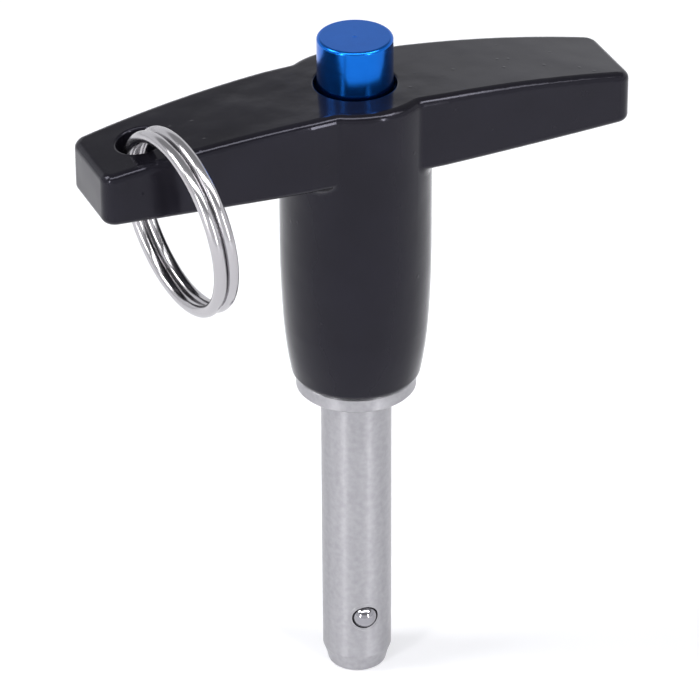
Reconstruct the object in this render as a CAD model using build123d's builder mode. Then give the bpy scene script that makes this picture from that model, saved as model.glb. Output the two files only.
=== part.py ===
from build123d import *
import math
import os

# Ball lock pin with a T grip: a turned stainless shank carries two locking balls near its tip. A
# sprung spindle inside holds them out, and pressing the button lets them drop in. All lengths are
# in millimetres. The shank runs along +Z, with z = 0 on the flat face of its tip, and the arms of
# the grip run along X.

# Shank
shank_d = 10.0              # fits a 10 mm hole
grip_length = 35.0          # from the collar's underside to the balls
tip_length = 11.5           # past the grip length
tip_taper = 0.04            # lost in radius between the grip length and the nose
nose_length = 2.8
nose_waist_d = 8.86
nose_waist_height = 1.25
tip_face_d = 8.3
tip_edge_radius = 0.45
collar_d = 17.0
collar_thickness = 2.25
collar_edge = 0.25
spigot_d = 13.0             # pressed into the grip
spigot_length = 16.0
spigot_lead_in = 0.5

# Locking balls
ball_d = 3.5
ball_reach = 1.0            # how far a locked ball stands out of the shank
ball_drop = 1.05            # how far it sinks in when the button is pressed
ball_turn = 8.5             # the balls' line, in degrees from the grip's front
ball_clearance = 0.03

# Spindle and button
stroke = 5.0
spindle_clearance = 0.05    # in its bore, all round
ramp_lead = 0.8             # the ramp starts this far below the balls
ramp_tail = 0.2             # and ends this far past them at full stroke
neck_room = 0.3             # above the balls at full stroke
spindle_edge = 0.3
bore_end_gap = 0.4          # under the spindle at full stroke
tip_wall = 1.6
button_d = 10.5
button_height = 6.9         # above the grip's top
button_edge = 0.45
flange_clearance = 0.08     # in the grip's bore, all round
flange_thickness = 1.6
socket_depth = 7.0          # the spindle's seat in the button
stop_gap = 0.05             # between the flange and its stop, at rest

# Return spring
spring_wire_d = 1.0
spring_side_gap = 0.4       # in the grip's bore, all round
spring_end_gap = 0.05
spring_turns = 8

# Grip
foot_d = 18.0
foot_radius = 0.95
waist_d = 20.3
waist_height = 8.75         # above the grip's foot
barrel_d = 21.1
barrel_height = 21.0        # where the barrel reaches its full diameter
arm_span = 77.8
arm_end_width = 13.1
arm_root_width = 17.5
arm_root_reach = 10.0       # from the axis
arm_bulge = 0.15
arm_corner_radius = 2.0
arm_underside = 34.5        # above the grip's foot
grip_height = 45.65         # above the grip's foot, on the axis
arm_droop = 3.8             # the top's fall from the axis to the arms' ends
top_edge_radius = 1.2
under_edge_radius = 1.0
root_radius = 1.6
button_gap = 0.45           # round the button
button_hole_depth = 3.0
button_hole_edge = 0.3
ring_hole_d = 6.6
ring_hole_inset = 7.6      # from the arm's end
ring_hole_edge = 0.35

# Key ring
ring_wire_d = 1.75
ring_mean_d = 24.8
ring_turn_gap = 0.06        # between its two turns
ring_jog_angle = 30.0       # the wire steps from one turn to the other over this many degrees
ring_forward = 11.0         # its centre, in front of the ring hole's axis
ring_sideways = 1.26        # and towards the barrel
ring_drop = 9.7             # and below the grip's top
ring_turn = 7.8             # degrees about Z, from square to the arm
ring_lean = 6.2             # degrees out of upright

# Heights along the axis
ball_z = tip_length - ball_d / 2
collar_z = tip_length + grip_length
foot_z = collar_z + collar_thickness
spigot_z = foot_z + spigot_length
arm_z = foot_z + arm_underside
top_z = foot_z + grip_height
stop_z = top_z - button_hole_depth
flange_top_z = stop_z - stop_gap
flange_z = flange_top_z - flange_thickness
button_top_z = top_z + button_height
socket_z = flange_z + socket_depth
spindle_z = tip_wall + bore_end_gap + stroke

# Locking geometry: the ramp's slope makes the balls follow the button at a fixed ratio
shank_r = shank_d / 2
ball_r = ball_d / 2
ball_centre_r = shank_r + ball_reach - ball_r
ball_hole_r = ball_r + ball_clearance
ramp_slope = ball_drop / stroke
ramp_r = ball_centre_r - ball_hole_r * math.hypot(1, ramp_slope)
land_r = ramp_r + ramp_slope * ramp_lead
neck_r = ramp_r - ramp_slope * (stroke + ramp_tail)
neck_top_z = ball_z + stroke + ball_r + neck_room
spindle_bore_r = land_r + spindle_clearance
ball_angles = (-90 - ball_turn, 90 - ball_turn)

# What fits in the grip
button_r = button_d / 2
button_hole_r = button_r + button_gap
flange_r = spigot_d / 2 - flange_clearance
ring_hole_x = ring_hole_inset - arm_span / 2


# Shank: one turned piece, with its collar, spigot, spindle bore and ball holes
with BuildPart() as shank:
    with BuildSketch(Plane.XZ):
        with BuildLine():
            Polyline(
                (0, 0),
                (tip_face_d / 2, 0),
                (nose_waist_d / 2, nose_waist_height),
                (shank_r - tip_taper, nose_length),
                (shank_r, tip_length),
                (shank_r, collar_z),
                (collar_d / 2, collar_z),
                (collar_d / 2, foot_z),
                (spigot_d / 2, foot_z),
                (spigot_d / 2, spigot_z),
                (0, spigot_z),
                close=True,
            )
        make_face()
    revolve(axis=Axis.Z)
    rims = shank.edges().filter_by(GeomType.CIRCLE)
    fillet(rims.sort_by(Axis.Z)[0], tip_edge_radius)
    chamfer(rims.group_by(SortBy.RADIUS)[-1], collar_edge)
    chamfer(rims.sort_by(Axis.Z)[-1], spigot_lead_in)
    with BuildSketch(Plane.XY.offset(tip_wall)):
        Circle(spindle_bore_r)
    extrude(amount=spigot_z - tip_wall, mode=Mode.SUBTRACT)
    for angle in ball_angles:
        outward = Vector(1, 0, 0).rotate(Axis.Z, angle)
        with BuildSketch(Plane(origin=(0, 0, ball_z), z_dir=outward)):
            Circle(ball_hole_r)
        extrude(amount=ball_centre_r, mode=Mode.SUBTRACT)
        with Locations(outward * ball_centre_r + Vector(0, 0, ball_z)):
            Sphere(ball_hole_r, mode=Mode.SUBTRACT)
shank.part.label = "shank"


# Spindle: a land below the balls, then the ramp and neck that they drop onto
with BuildPart() as spindle:
    with BuildSketch(Plane.XZ):
        with BuildLine():
            Polyline(
                (0, spindle_z),
                (land_r, spindle_z),
                (land_r, ball_z - ramp_lead),
                (neck_r, ball_z + stroke + ramp_tail),
                (neck_r, neck_top_z),
                (land_r, neck_top_z + land_r - neck_r),
                (land_r, socket_z),
                (0, socket_z),
                close=True,
            )
        make_face()
    revolve(axis=Axis.Z)
    rims = spindle.edges().filter_by(GeomType.CIRCLE).sort_by(Axis.Z)
    chamfer([rims[0], rims[-1]], spindle_edge)
spindle.part.label = "spindle"


# Locking balls, both resting on the ramp
balls = []
for name, angle in zip(("ball_front", "ball_rear"), ball_angles):
    with BuildPart() as ball:
        with Locations(Vector(ball_centre_r, 0, ball_z).rotate(Axis.Z, angle)):
            Sphere(ball_r)
    ball.part.label = name
    balls.append(ball.part)


# Button: its flange runs in the grip's bore and stops under the grip's top
with BuildPart() as button:
    with BuildSketch(Plane.XZ):
        with BuildLine():
            Polyline(
                (0, flange_z),
                (flange_r, flange_z),
                (flange_r, flange_top_z),
                (button_r, flange_top_z),
                (button_r, button_top_z),
                (0, button_top_z),
                close=True,
            )
        make_face()
    revolve(axis=Axis.Z)
    fillet(button.edges().filter_by(GeomType.CIRCLE).sort_by(Axis.Z)[-1], button_edge)
    with BuildSketch(Plane.XY.offset(flange_z)):
        Circle(land_r)
    extrude(amount=socket_depth, mode=Mode.SUBTRACT)
button.part.label = "button"


# Return spring: one coil between the shank's spigot and the button's flange
spring_start_z = spigot_z + spring_end_gap + spring_wire_d / 2
spring_height = flange_z - spring_end_gap - spring_wire_d / 2 - spring_start_z
spring_mean_r = spigot_d / 2 - spring_side_gap - spring_wire_d / 2
with BuildPart() as spring:
    with BuildLine(Plane.XY.offset(spring_start_z)):
        coil = Helix(pitch=spring_height / spring_turns, height=spring_height, radius=spring_mean_r)
    with BuildSketch(Plane(origin=coil @ 0, z_dir=coil % 0)):
        Circle(spring_wire_d / 2)
    sweep(is_frenet=True)
spring.part.label = "return_spring"


# Grip: the two arms and the barrel, cast in one piece
with BuildPart() as handle:
    with BuildSketch(Plane.XY.offset(arm_z)) as plan:
        with BuildLine():
            root = (arm_root_reach, arm_root_width / 2)
            corner = (arm_span / 2, arm_end_width / 2)
            middle = ((root[0] + corner[0]) / 2, (root[1] + corner[1]) / 2 + arm_bulge)
            ThreePointArc(root, middle, corner)
            Line(root, (0, root[1]))
            Line(corner, (corner[0], 0))
            mirror(about=Plane.XZ)
            mirror(about=Plane.YZ)
        make_face()
        corners = plan.vertices().group_by(Axis.X)
        fillet(corners[0] + corners[-1], arm_corner_radius)
    extrude(amount=top_z - arm_z)
    fillet(handle.faces().sort_by(Axis.Z)[0].edges(), under_edge_radius)
    with BuildSketch(Plane.YZ):
        with BuildLine():
            Line((0, top_z), (0, foot_z))
            Line((0, foot_z), (foot_d / 2, foot_z))
            side = Line((barrel_d / 2, top_z), (barrel_d / 2, foot_z + barrel_height))
            upper = TangentArc(side @ 1, (waist_d / 2, foot_z + waist_height), tangent=side % 1)
            TangentArc(upper @ 1, (foot_d / 2, foot_z), tangent=upper % 1)
            Line((0, top_z), (barrel_d / 2, top_z))
        make_face()
    revolve(axis=Axis.Z)
    roots = [
        edge for edge in handle.edges()
        if arm_z - under_edge_radius < edge.center().Z < top_z - under_edge_radius
        and all(
            math.hypot(place.X, place.Y) < barrel_d / 2 + under_edge_radius / 2
            for place in (edge @ 0, edge @ 0.5, edge @ 1)
        )
    ]
    fillet(roots, root_radius)
    fillet(handle.edges().filter_by(GeomType.CIRCLE).sort_by(Axis.Z)[0], foot_radius)
    with BuildSketch(Plane.XZ):
        with BuildLine():
            end_x = arm_span / 2
            end_z = top_z - arm_droop
            crown = ThreePointArc((-end_x, end_z), (0, top_z), (end_x, end_z))
            Polyline(crown @ 1, (end_x, 0), (-end_x, 0), crown @ 0)
        make_face()
    extrude(amount=barrel_d, both=True, mode=Mode.INTERSECT)
    top_face = handle.faces().filter_by(GeomType.CYLINDER).sort_by(Axis.Z)[-1]
    fillet(top_face.outer_wire().edges(), top_edge_radius)
    with BuildSketch(Plane.XY.offset(foot_z)):
        Circle(spigot_d / 2)
    extrude(amount=stop_z - foot_z, mode=Mode.SUBTRACT)
    with BuildSketch(Plane.XY.offset(stop_z)):
        Circle(button_hole_r)
    extrude(amount=button_hole_depth, mode=Mode.SUBTRACT)
    with BuildSketch(Plane.XY.offset(arm_z)):
        with Locations((ring_hole_x, 0)):
            Circle(ring_hole_d / 2)
    extrude(amount=top_z - arm_z, mode=Mode.SUBTRACT)
    crown_face = handle.faces().filter_by(lambda face: len(face.inner_wires()) == 2)[0]
    ring_rim, button_rim = crown_face.inner_wires().sort_by(Axis.X)
    under_face = handle.faces().filter_by(GeomType.PLANE).filter_by_position(Axis.Z, arm_z, arm_z)
    under_rim = under_face.sort_by(Axis.X)[0].inner_wires()[0]
    fillet(button_rim.edges(), button_hole_edge)
    fillet(ring_rim.edges() + under_rim.edges(), ring_hole_edge)
handle.part.label = "handle"


# Key ring: two turns of wire side by side, through the hole in the arm. The wire steps from one
# turn to the other inside the hole.
turn_offset = (ring_wire_d + ring_turn_gap) / 2
ring_centre = (ring_hole_x + ring_sideways, -ring_forward, top_z - ring_drop)
ring_plane = Plane(
    origin=ring_centre,
    x_dir=Vector(0, 1, 0).rotate(Axis.Z, ring_turn),
    z_dir=Vector(1, 0, 0).rotate(Axis.Y, -ring_lean).rotate(Axis.Z, ring_turn),
)
arm_middle_z = (arm_z + top_z - arm_droop) / 2
jog_middle = math.degrees(math.asin((arm_middle_z - ring_centre[2]) / (ring_mean_d / 2)))
jog_end = jog_middle + ring_jog_angle / 2
with BuildPart() as key_ring:
    with BuildLine(ring_plane) as wire:
        turns = [
            CenterArc((0, 0, offset), ring_mean_d / 2, jog_end, 360 - ring_jog_angle)
            for offset in (-turn_offset, turn_offset)
        ]
        jog = Spline(
            turns[0] @ 1,
            ring_plane.from_local_coords(Vector(ring_mean_d / 2, 0, 0).rotate(Axis.Z, jog_middle)),
            turns[1] @ 0,
            tangents=(turns[0] % 1, turns[1] % 0),
        )
    with BuildSketch(Plane(origin=turns[0] @ 0, z_dir=turns[0] % 0)):
        Circle(ring_wire_d / 2)
    sweep(is_frenet=False)
key_ring.part.label = "key_ring"


os.makedirs("parts", exist_ok=True)
for piece in (shank, spindle, button, spring, handle, key_ring):
    export_step(piece.part, f"parts/{piece.part.label}.step")
for piece in balls:
    export_step(piece, f"parts/{piece.label}.step")
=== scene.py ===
import math

import bmesh
import bpy
from mathutils import Matrix, Quaternion, Vector


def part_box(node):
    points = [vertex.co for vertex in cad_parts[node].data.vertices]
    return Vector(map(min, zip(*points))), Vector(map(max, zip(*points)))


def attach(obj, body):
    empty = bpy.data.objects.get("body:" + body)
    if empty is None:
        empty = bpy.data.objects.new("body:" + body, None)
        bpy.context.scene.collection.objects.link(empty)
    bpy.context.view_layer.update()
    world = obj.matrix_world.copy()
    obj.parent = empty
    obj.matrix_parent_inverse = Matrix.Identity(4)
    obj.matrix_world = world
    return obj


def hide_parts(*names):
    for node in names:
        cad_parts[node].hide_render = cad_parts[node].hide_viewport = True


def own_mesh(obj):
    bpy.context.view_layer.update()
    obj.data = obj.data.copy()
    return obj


# The looks of a ball lock pin: the finish of each part, its smallest details and the studio round it.
# The pin stands on its tip along Z, with the arms of its grip along X.

MM = 0.001

# Details
SHANK_RADIUS = 4.985 * MM       # of its tip, partway along a very slight taper
SOCKET_SHADE_REACH = 1.94 * MM        # from a ball's middle to just past the rim of its hole, as far as the painted shade and oil in it reach
STAKE_RADIUS = 2.25 * MM
STAKE_WIRE = 0.09 * MM
STAKE_SINK = 0.05 * MM
MARK_RADIUS = 0.3 * MM
MARK_FLATNESS = 0.35
SPRING_WIRE = 1.0 * MM
SPRING_TURNS = 8
STEPS_PER_TURN = 40

# Studio
FLOOR_RADIUS = 3.0
FLOOR_GLOW = 0.19               # added to the table where it is seen, so that it looks white
SWEEP_TOP = 26                  # degrees above the horizon, where the white walls end
ROOM_FROM = 31                  # and where the dimmer room begins
ROOM_LEVEL = 0.40
AIM = Vector((-0.784, 0.328, 51.81)) * MM
SHOT_AZIMUTH = -22.67
SHOT_ELEVATION = 30.74
SHOT_ROLL = 0.25
SHOT_DISTANCE = 0.681
LENS = 248.94
LAMP_DISTANCE = 0.8

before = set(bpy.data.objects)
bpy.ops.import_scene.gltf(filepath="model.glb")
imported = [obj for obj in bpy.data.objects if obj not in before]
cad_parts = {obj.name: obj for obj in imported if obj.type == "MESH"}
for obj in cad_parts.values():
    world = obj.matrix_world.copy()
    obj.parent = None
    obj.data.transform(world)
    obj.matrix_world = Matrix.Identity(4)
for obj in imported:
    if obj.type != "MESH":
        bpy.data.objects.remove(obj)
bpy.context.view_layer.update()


# ---------------------------------------------------------------- helpers
def colour(code):
    """An sRGB hex colour, such as "8C6D3F", as linear RGBA."""
    shares = [int(code[i : i + 2], 16) / 255 for i in (0, 2, 4)]
    linear = [s / 12.92 if s <= 0.04045 else ((s + 0.055) / 1.055) ** 2.4 for s in shares]
    return (*linear, 1.0)


def add(tree, kind, settings=None, **inputs):
    """Adds a node with its properties and inputs. An input's name is its socket's, with _ for a space,
    or i and its number, and it takes a value or another node's output."""
    node = tree.nodes.new(kind)
    for name, value in (settings or {}).items():
        setattr(node, name, value)
    for name, value in inputs.items():
        numbered = name[0] == "i" and name[1:].isdigit()
        socket = node.inputs[int(name[1:]) if numbered else name.replace("_", " ")]
        if isinstance(value, bpy.types.NodeSocket):
            tree.links.new(value, socket)
        else:
            socket.default_value = value
    return node


def empty_nodes(block):
    """The cleared node tree of a new material or world."""
    block.use_nodes = True
    block.node_tree.nodes.clear()
    return block.node_tree


def new_material(name):
    """An empty node material, its tree, and the object's own coordinates."""
    made = bpy.data.materials.new(name)
    tree = empty_nodes(made)
    place = add(tree, "ShaderNodeTexCoord").outputs["Object"]
    return made, tree, place


def coated(material, *nodes):
    """Gives CAD nodes their finish."""
    for node in nodes:
        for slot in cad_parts[node].material_slots:
            slot.material = material


def middle_of(node):
    """The middle of a CAD node's box."""
    low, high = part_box(node)
    return (Vector(low) + Vector(high)) / 2


# ---------------------------------------------------------------- materials
def baked_black_coat():
    """Stove-baked black coating on a die-cast grip: a wet gloss with a slight orange peel, a few
    specks of dust caught in the film, and a faint blue-violet cast to the black."""
    made, tree, place = new_material("baked_black_coat")
    peel = add(tree, "ShaderNodeTexNoise", Vector=place, Scale=1 / (1.6 * MM), Detail=2.0)
    swell = add(tree, "ShaderNodeTexNoise", Vector=place, Scale=1 / (7 * MM), Detail=1.0)
    dust = add(tree, "ShaderNodeTexVoronoi", Vector=place, Scale=1 / (3.2 * MM), Randomness=1.0)
    speck = add(tree, "ShaderNodeMapRange", Value=dust.outputs["Distance"],
                From_Min=0.04, From_Max=0.09, To_Min=1.0, To_Max=0.0)
    tone = add(tree, "ShaderNodeMix", {"data_type": "RGBA"}, Factor=swell.outputs["Fac"],
               i6=colour("111014"), i7=colour("18171E"))
    rough = add(tree, "ShaderNodeMapRange", Value=peel.outputs["Fac"], To_Min=0.10, To_Max=0.17)
    wave = add(tree, "ShaderNodeBump", Height=swell.outputs["Fac"], Strength=0.5, Distance=0.25 * MM)
    ripple = add(tree, "ShaderNodeBump", Height=peel.outputs["Fac"], Strength=0.4, Distance=0.03 * MM,
                 Normal=wave.outputs[0])
    grit = add(tree, "ShaderNodeBump", Height=speck.outputs[0], Strength=0.6, Distance=0.04 * MM,
               Normal=ripple.outputs[0])
    shader = add(tree, "ShaderNodeBsdfPrincipled", Base_Color=tone.outputs[2],
                 Roughness=rough.outputs[0], IOR=1.45, Specular_IOR_Level=0.31,
                 Specular_Tint=colour("E2E0F4"), Normal=grit.outputs[0])
    add(tree, "ShaderNodeOutputMaterial", Surface=shader.outputs["BSDF"])
    return made


def ground_stainless():
    """Stainless bar, turned and then centreless ground: a satin grey whose fine rings round the axis
    draw each light out into an upright streak. The rings are drawn coarser than real ones, so that
    they show. The walls of the ball holes are painted dark: partly oil, partly painted shade in the
    gaps."""
    made, tree, place = new_material("ground_stainless")
    cloud = add(tree, "ShaderNodeTexNoise", Vector=place, Scale=1 / (0.8 * MM), Detail=4.0)
    tone = add(tree, "ShaderNodeMix", {"data_type": "RGBA"}, Factor=cloud.outputs["Fac"],
               i6=colour("96959A"), i7=colour("B4B3B6"))
    # Painted shade, with some oil: each ball's hole is painted dark to just past its rim.
    for ball in ("ball_front", "ball_rear"):
        off = add(tree, "ShaderNodeVectorMath", {"operation": "DISTANCE"}, i0=place, i1=middle_of(ball))
        painted_shade_in_socket = add(tree, "ShaderNodeMath", {"operation": "LESS_THAN"},
                     i0=off.outputs["Value"], i1=SOCKET_SHADE_REACH)
        tone = add(tree, "ShaderNodeMix", {"data_type": "RGBA"}, Factor=painted_shade_in_socket.outputs[0],
                   i6=tone.outputs[2], i7=colour("242326"))
    rings = add(tree, "ShaderNodeMapping", Vector=place, Scale=(0.06, 0.06, 1.0))
    grind = add(tree, "ShaderNodeTexNoise", Vector=rings.outputs[0], Scale=1 / (0.3 * MM), Detail=3.0)
    rough = add(tree, "ShaderNodeMapRange", Value=grind.outputs["Fac"], To_Min=0.30, To_Max=0.42)
    relief = add(tree, "ShaderNodeBump", Height=grind.outputs["Fac"], Strength=0.3, Distance=0.006 * MM)
    round_axis = add(tree, "ShaderNodeTangent", {"direction_type": "RADIAL", "axis": "Z"})
    shader = add(tree, "ShaderNodeBsdfPrincipled", Base_Color=tone.outputs[2], Metallic=1.0,
                 Roughness=rough.outputs[0], Anisotropic=0.75, Anisotropic_Rotation=0.25,
                 Tangent=round_axis.outputs[0], Normal=relief.outputs[0])
    add(tree, "ShaderNodeOutputMaterial", Surface=shader.outputs["BSDF"])
    return made


def blue_anodised_aluminium():
    """Turned aluminium, dyed and anodised: a deep metallic blue, satin from the tool marks, which are
    drawn coarser than real ones so that they show."""
    made, tree, place = new_material("blue_anodised_aluminium")
    cloud = add(tree, "ShaderNodeTexNoise", Vector=place, Scale=1 / (1.2 * MM), Detail=3.0)
    tone = add(tree, "ShaderNodeMix", {"data_type": "RGBA"}, Factor=cloud.outputs["Fac"],
               i6=colour("1360BE"), i7=colour("1868C8"))
    rings = add(tree, "ShaderNodeMapping", Vector=place, Scale=(0.05, 0.05, 1.0))
    marks = add(tree, "ShaderNodeTexNoise", Vector=rings.outputs[0], Scale=1 / (0.25 * MM), Detail=2.0)
    rough = add(tree, "ShaderNodeMapRange", Value=marks.outputs["Fac"], To_Min=0.16, To_Max=0.26)
    relief = add(tree, "ShaderNodeBump", Height=marks.outputs["Fac"], Strength=0.3, Distance=0.006 * MM)
    shader = add(tree, "ShaderNodeBsdfPrincipled", Base_Color=tone.outputs[2], Metallic=1.0,
                 Roughness=rough.outputs[0], Normal=relief.outputs[0])
    add(tree, "ShaderNodeOutputMaterial", Surface=shader.outputs["BSDF"])
    return made


def bright_steel(name, code, low, high, grain):
    """Steel with a bright finish: a polished ball, a drawn wire or a hidden turned piece.
    low and high are the limits of its roughness, and grain the size of its marks in millimetres."""
    made, tree, place = new_material(name)
    marks = add(tree, "ShaderNodeTexNoise", Vector=place, Scale=1 / (grain * MM), Detail=3.0)
    rough = add(tree, "ShaderNodeMapRange", Value=marks.outputs["Fac"], To_Min=low, To_Max=high)
    shader = add(tree, "ShaderNodeBsdfPrincipled", Base_Color=colour(code), Metallic=1.0,
                 Roughness=rough.outputs[0])
    add(tree, "ShaderNodeOutputMaterial", Surface=shader.outputs["BSDF"])
    return made


# ---------------------------------------------------------------- small details
def finished(bm, name, material, body):
    """Turns a bmesh into a piece that rides on a body."""
    bmesh.ops.remove_doubles(bm, verts=bm.verts, dist=1e-7)
    bmesh.ops.recalc_face_normals(bm, faces=bm.faces)
    mesh = bpy.data.meshes.new(name)
    bm.to_mesh(mesh)
    bm.free()
    mesh.materials.append(material)
    mesh.shade_smooth()
    piece = bpy.data.objects.new(name, mesh)
    bpy.context.scene.collection.objects.link(piece)
    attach(piece, body)
    return piece


def wire_section(bm, radius, at):
    """A wire's round section, upright and square to a turn about Z."""
    upright = Matrix.Translation(at) @ Matrix.Rotation(math.radians(90), 4, "X")
    bmesh.ops.create_circle(bm, segments=12, radius=radius, matrix=upright)


def staked_rim(name, ball, material):
    """The fine raised ring round a ball's hole, where its edge is staked over to keep the ball in."""
    middle = middle_of(ball)
    outward = Vector((middle.x, middle.y, 0)).normalized()
    bm = bmesh.new()
    wire_section(bm, STAKE_WIRE, (STAKE_RADIUS, 0, 0))
    bmesh.ops.spin(bm, geom=bm.verts[:] + bm.edges[:], cent=(0, 0, 0), axis=(0, 0, 1),
                   angle=math.tau, steps=72, use_merge=True)
    for vert in bm.verts:
        vert.co.z += math.sqrt(SHANK_RADIUS**2 - vert.co.x**2) - STAKE_SINK
    turn = outward.to_track_quat("Z", "Y").to_matrix().to_4x4()
    bmesh.ops.transform(bm, matrix=Matrix.Translation((0, 0, middle.z)) @ turn, verts=bm.verts)
    finished(bm, name, material, "grip")


def centre_mark(material):
    """The lathe's centre mark on the button's face."""
    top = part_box("button")[1][2]
    bm = bmesh.new()
    bmesh.ops.create_uvsphere(bm, u_segments=24, v_segments=12, radius=MARK_RADIUS)
    bmesh.ops.scale(bm, vec=(1, 1, MARK_FLATNESS), verts=bm.verts)
    bmesh.ops.translate(bm, vec=(0, 0, top), verts=bm.verts)
    finished(bm, "button_centre_mark", material, "plunger")


def closing_spring(material):
    """The return spring on the shank's spigot, wound as a helix of wire in place of the CAD node."""
    low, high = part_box("return_spring")
    wire = SPRING_WIRE / 2
    length = high[2] - low[2]
    rise = length - SPRING_WIRE
    steps = SPRING_TURNS * STEPS_PER_TURN
    bm = bmesh.new()
    wire_section(bm, wire, (high[0] - wire, 0, low[2] + wire))
    bmesh.ops.spin(bm, geom=bm.verts[:] + bm.edges[:], cent=(0, 0, 0), axis=(0, 0, 1),
                   dvec=(0, 0, rise / steps), angle=math.tau * SPRING_TURNS, steps=steps)
    bmesh.ops.holes_fill(bm, edges=[edge for edge in bm.edges if edge.is_boundary])
    spring = finished(bm, "closing_return_spring", material, "grip")
    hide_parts("return_spring")
    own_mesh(spring)


# ---------------------------------------------------------------- studio
def face_from(thing, azimuth, elevation, distance, roll=0.0):
    """Stands a camera or lamp off the pin and turns it to face it."""
    a, e = math.radians(azimuth), math.radians(elevation)
    back = Vector((math.sin(a) * math.cos(e), -math.cos(a) * math.cos(e), math.sin(e)))
    thing.rotation_mode = "QUATERNION"
    turn = Quaternion((0, 0, 1), -math.radians(roll))
    thing.rotation_quaternion = back.to_track_quat("Z", "Y") @ turn
    thing.location = AIM + back * distance
    bpy.context.scene.collection.objects.link(thing)


def table_top():
    """A white table. It is lit like any surface, and looks white to the camera and in the metal."""
    mesh = bpy.data.meshes.new("table_top")
    bm = bmesh.new()
    bmesh.ops.create_circle(bm, cap_ends=True, segments=64, radius=FLOOR_RADIUS)
    bm.to_mesh(mesh)
    bm.free()
    top = bpy.data.objects.new("table_top", mesh)
    bpy.context.scene.collection.objects.link(top)
    made = bpy.data.materials.new("white_table_top")
    tree = empty_nodes(made)
    # 1 for a ray that shows the table to the camera, straight or in a reflection or a clear piece
    path = add(tree, "ShaderNodeLightPath").outputs
    straight = add(tree, "ShaderNodeMath", {"operation": "MAXIMUM"},
                   i0=path["Is Camera Ray"], i1=path["Is Glossy Ray"])
    seen = add(tree, "ShaderNodeMath", {"operation": "MAXIMUM"},
               i0=straight.outputs[0], i1=path["Is Transmission Ray"])
    level = add(tree, "ShaderNodeMath", {"operation": "MULTIPLY"}, i0=seen.outputs[0], i1=FLOOR_GLOW)
    paint = add(tree, "ShaderNodeBsdfDiffuse", Color=colour("F2F2F4"))
    glow = add(tree, "ShaderNodeEmission", Color=colour("FFFFFF"), Strength=level.outputs[0])
    both = add(tree, "ShaderNodeAddShader", i0=paint.outputs[0], i1=glow.outputs[0])
    add(tree, "ShaderNodeOutputMaterial", Surface=both.outputs[0])
    mesh.materials.append(made)


def surroundings():
    """White walls up to the top of the sweep, and a dimmer room above it. The camera sees only white."""
    world = bpy.data.worlds.new("white_sweep")
    bpy.context.scene.world = world
    tree = empty_nodes(world)
    way = add(tree, "ShaderNodeTexCoord").outputs["Generated"]
    height = add(tree, "ShaderNodeSeparateXYZ", Vector=way).outputs["Z"]
    sweep_top, room_from = (math.sin(math.radians(angle)) for angle in (SWEEP_TOP, ROOM_FROM))
    wall = add(tree, "ShaderNodeMapRange", Value=height, From_Min=sweep_top, From_Max=room_from,
               To_Min=1.0, To_Max=ROOM_LEVEL)
    camera_ray = add(tree, "ShaderNodeLightPath").outputs["Is Camera Ray"]
    level = add(tree, "ShaderNodeMix", Factor=camera_ray, i2=wall.outputs[0], i3=1.0)
    back = add(tree, "ShaderNodeBackground", Color=colour("FBFCFF"), Strength=level.outputs[0])
    add(tree, "ShaderNodeOutputWorld", Surface=back.outputs[0])


def lamp(name, azimuth, elevation, watts, width, height, reflection_only=False):
    """A flat lamp. One for reflections only shows in gloss and metal, and throws no light on the
    table."""
    light = bpy.data.lights.new(name, "AREA")
    light.shape = "RECTANGLE"
    light.size, light.size_y = width, height
    light.energy = watts
    stand = bpy.data.objects.new(name, light)
    stand.visible_diffuse = not reflection_only
    face_from(stand, azimuth, elevation, LAMP_DISTANCE)


def lamps():
    """Two softboxes, two upright strips for the streaks on the turned metal, and one long strip above
    the grip for the bright line on its top edge."""
    lamp("softbox_left", SHOT_AZIMUTH - 83, 44, 3.0, 0.3, 0.3)
    lamp("softbox_right", SHOT_AZIMUTH + 69, 48, 1.5, 0.3, 0.3)
    lamp("strip_overhead", SHOT_AZIMUTH / 2, 66, 7.0, 1.2, 0.2, reflection_only=True)
    lamp("strip_left", SHOT_AZIMUTH - 38, 14, 2.0, 0.07, 0.4)
    lamp("strip_right", SHOT_AZIMUTH + 40, 14, 1.7, 0.07, 0.4)


def camera():
    """A long lens, in front of the pin, to its left and above it."""
    lens = bpy.data.cameras.new("camera")
    lens.sensor_width = 36
    lens.lens = LENS
    lens.clip_start, lens.clip_end = 0.05, 20
    seat = bpy.data.objects.new("camera", lens)
    face_from(seat, SHOT_AZIMUTH, SHOT_ELEVATION, SHOT_DISTANCE, SHOT_ROLL)
    bpy.context.scene.camera = seat


stainless = ground_stainless()
blue = blue_anodised_aluminium()
spring_steel = bright_steel("spring_wire", "A9A8AA", 0.2, 0.35, 0.4)
coated(baked_black_coat(), "handle")
coated(stainless, "shank")
coated(blue, "button")
coated(bright_steel("polished_ball_steel", "9C9BA0", 0.04, 0.08, 0.5), "ball_front", "ball_rear")
coated(bright_steel("drawn_ring_wire", "B3B1B4", 0.12, 0.24, 0.25), "key_ring")
coated(spring_steel, "return_spring")
coated(bright_steel("turned_spindle_steel", "C4C3C6", 0.2, 0.3, 0.3), "spindle")

closing_spring(spring_steel)
staked_rim("staked_rim_front", "ball_front", stainless)
staked_rim("staked_rim_rear", "ball_rear", stainless)
centre_mark(blue)

table_top()
surroundings()
lamps()
camera()
bpy.context.scene.view_settings.view_transform = "Standard"
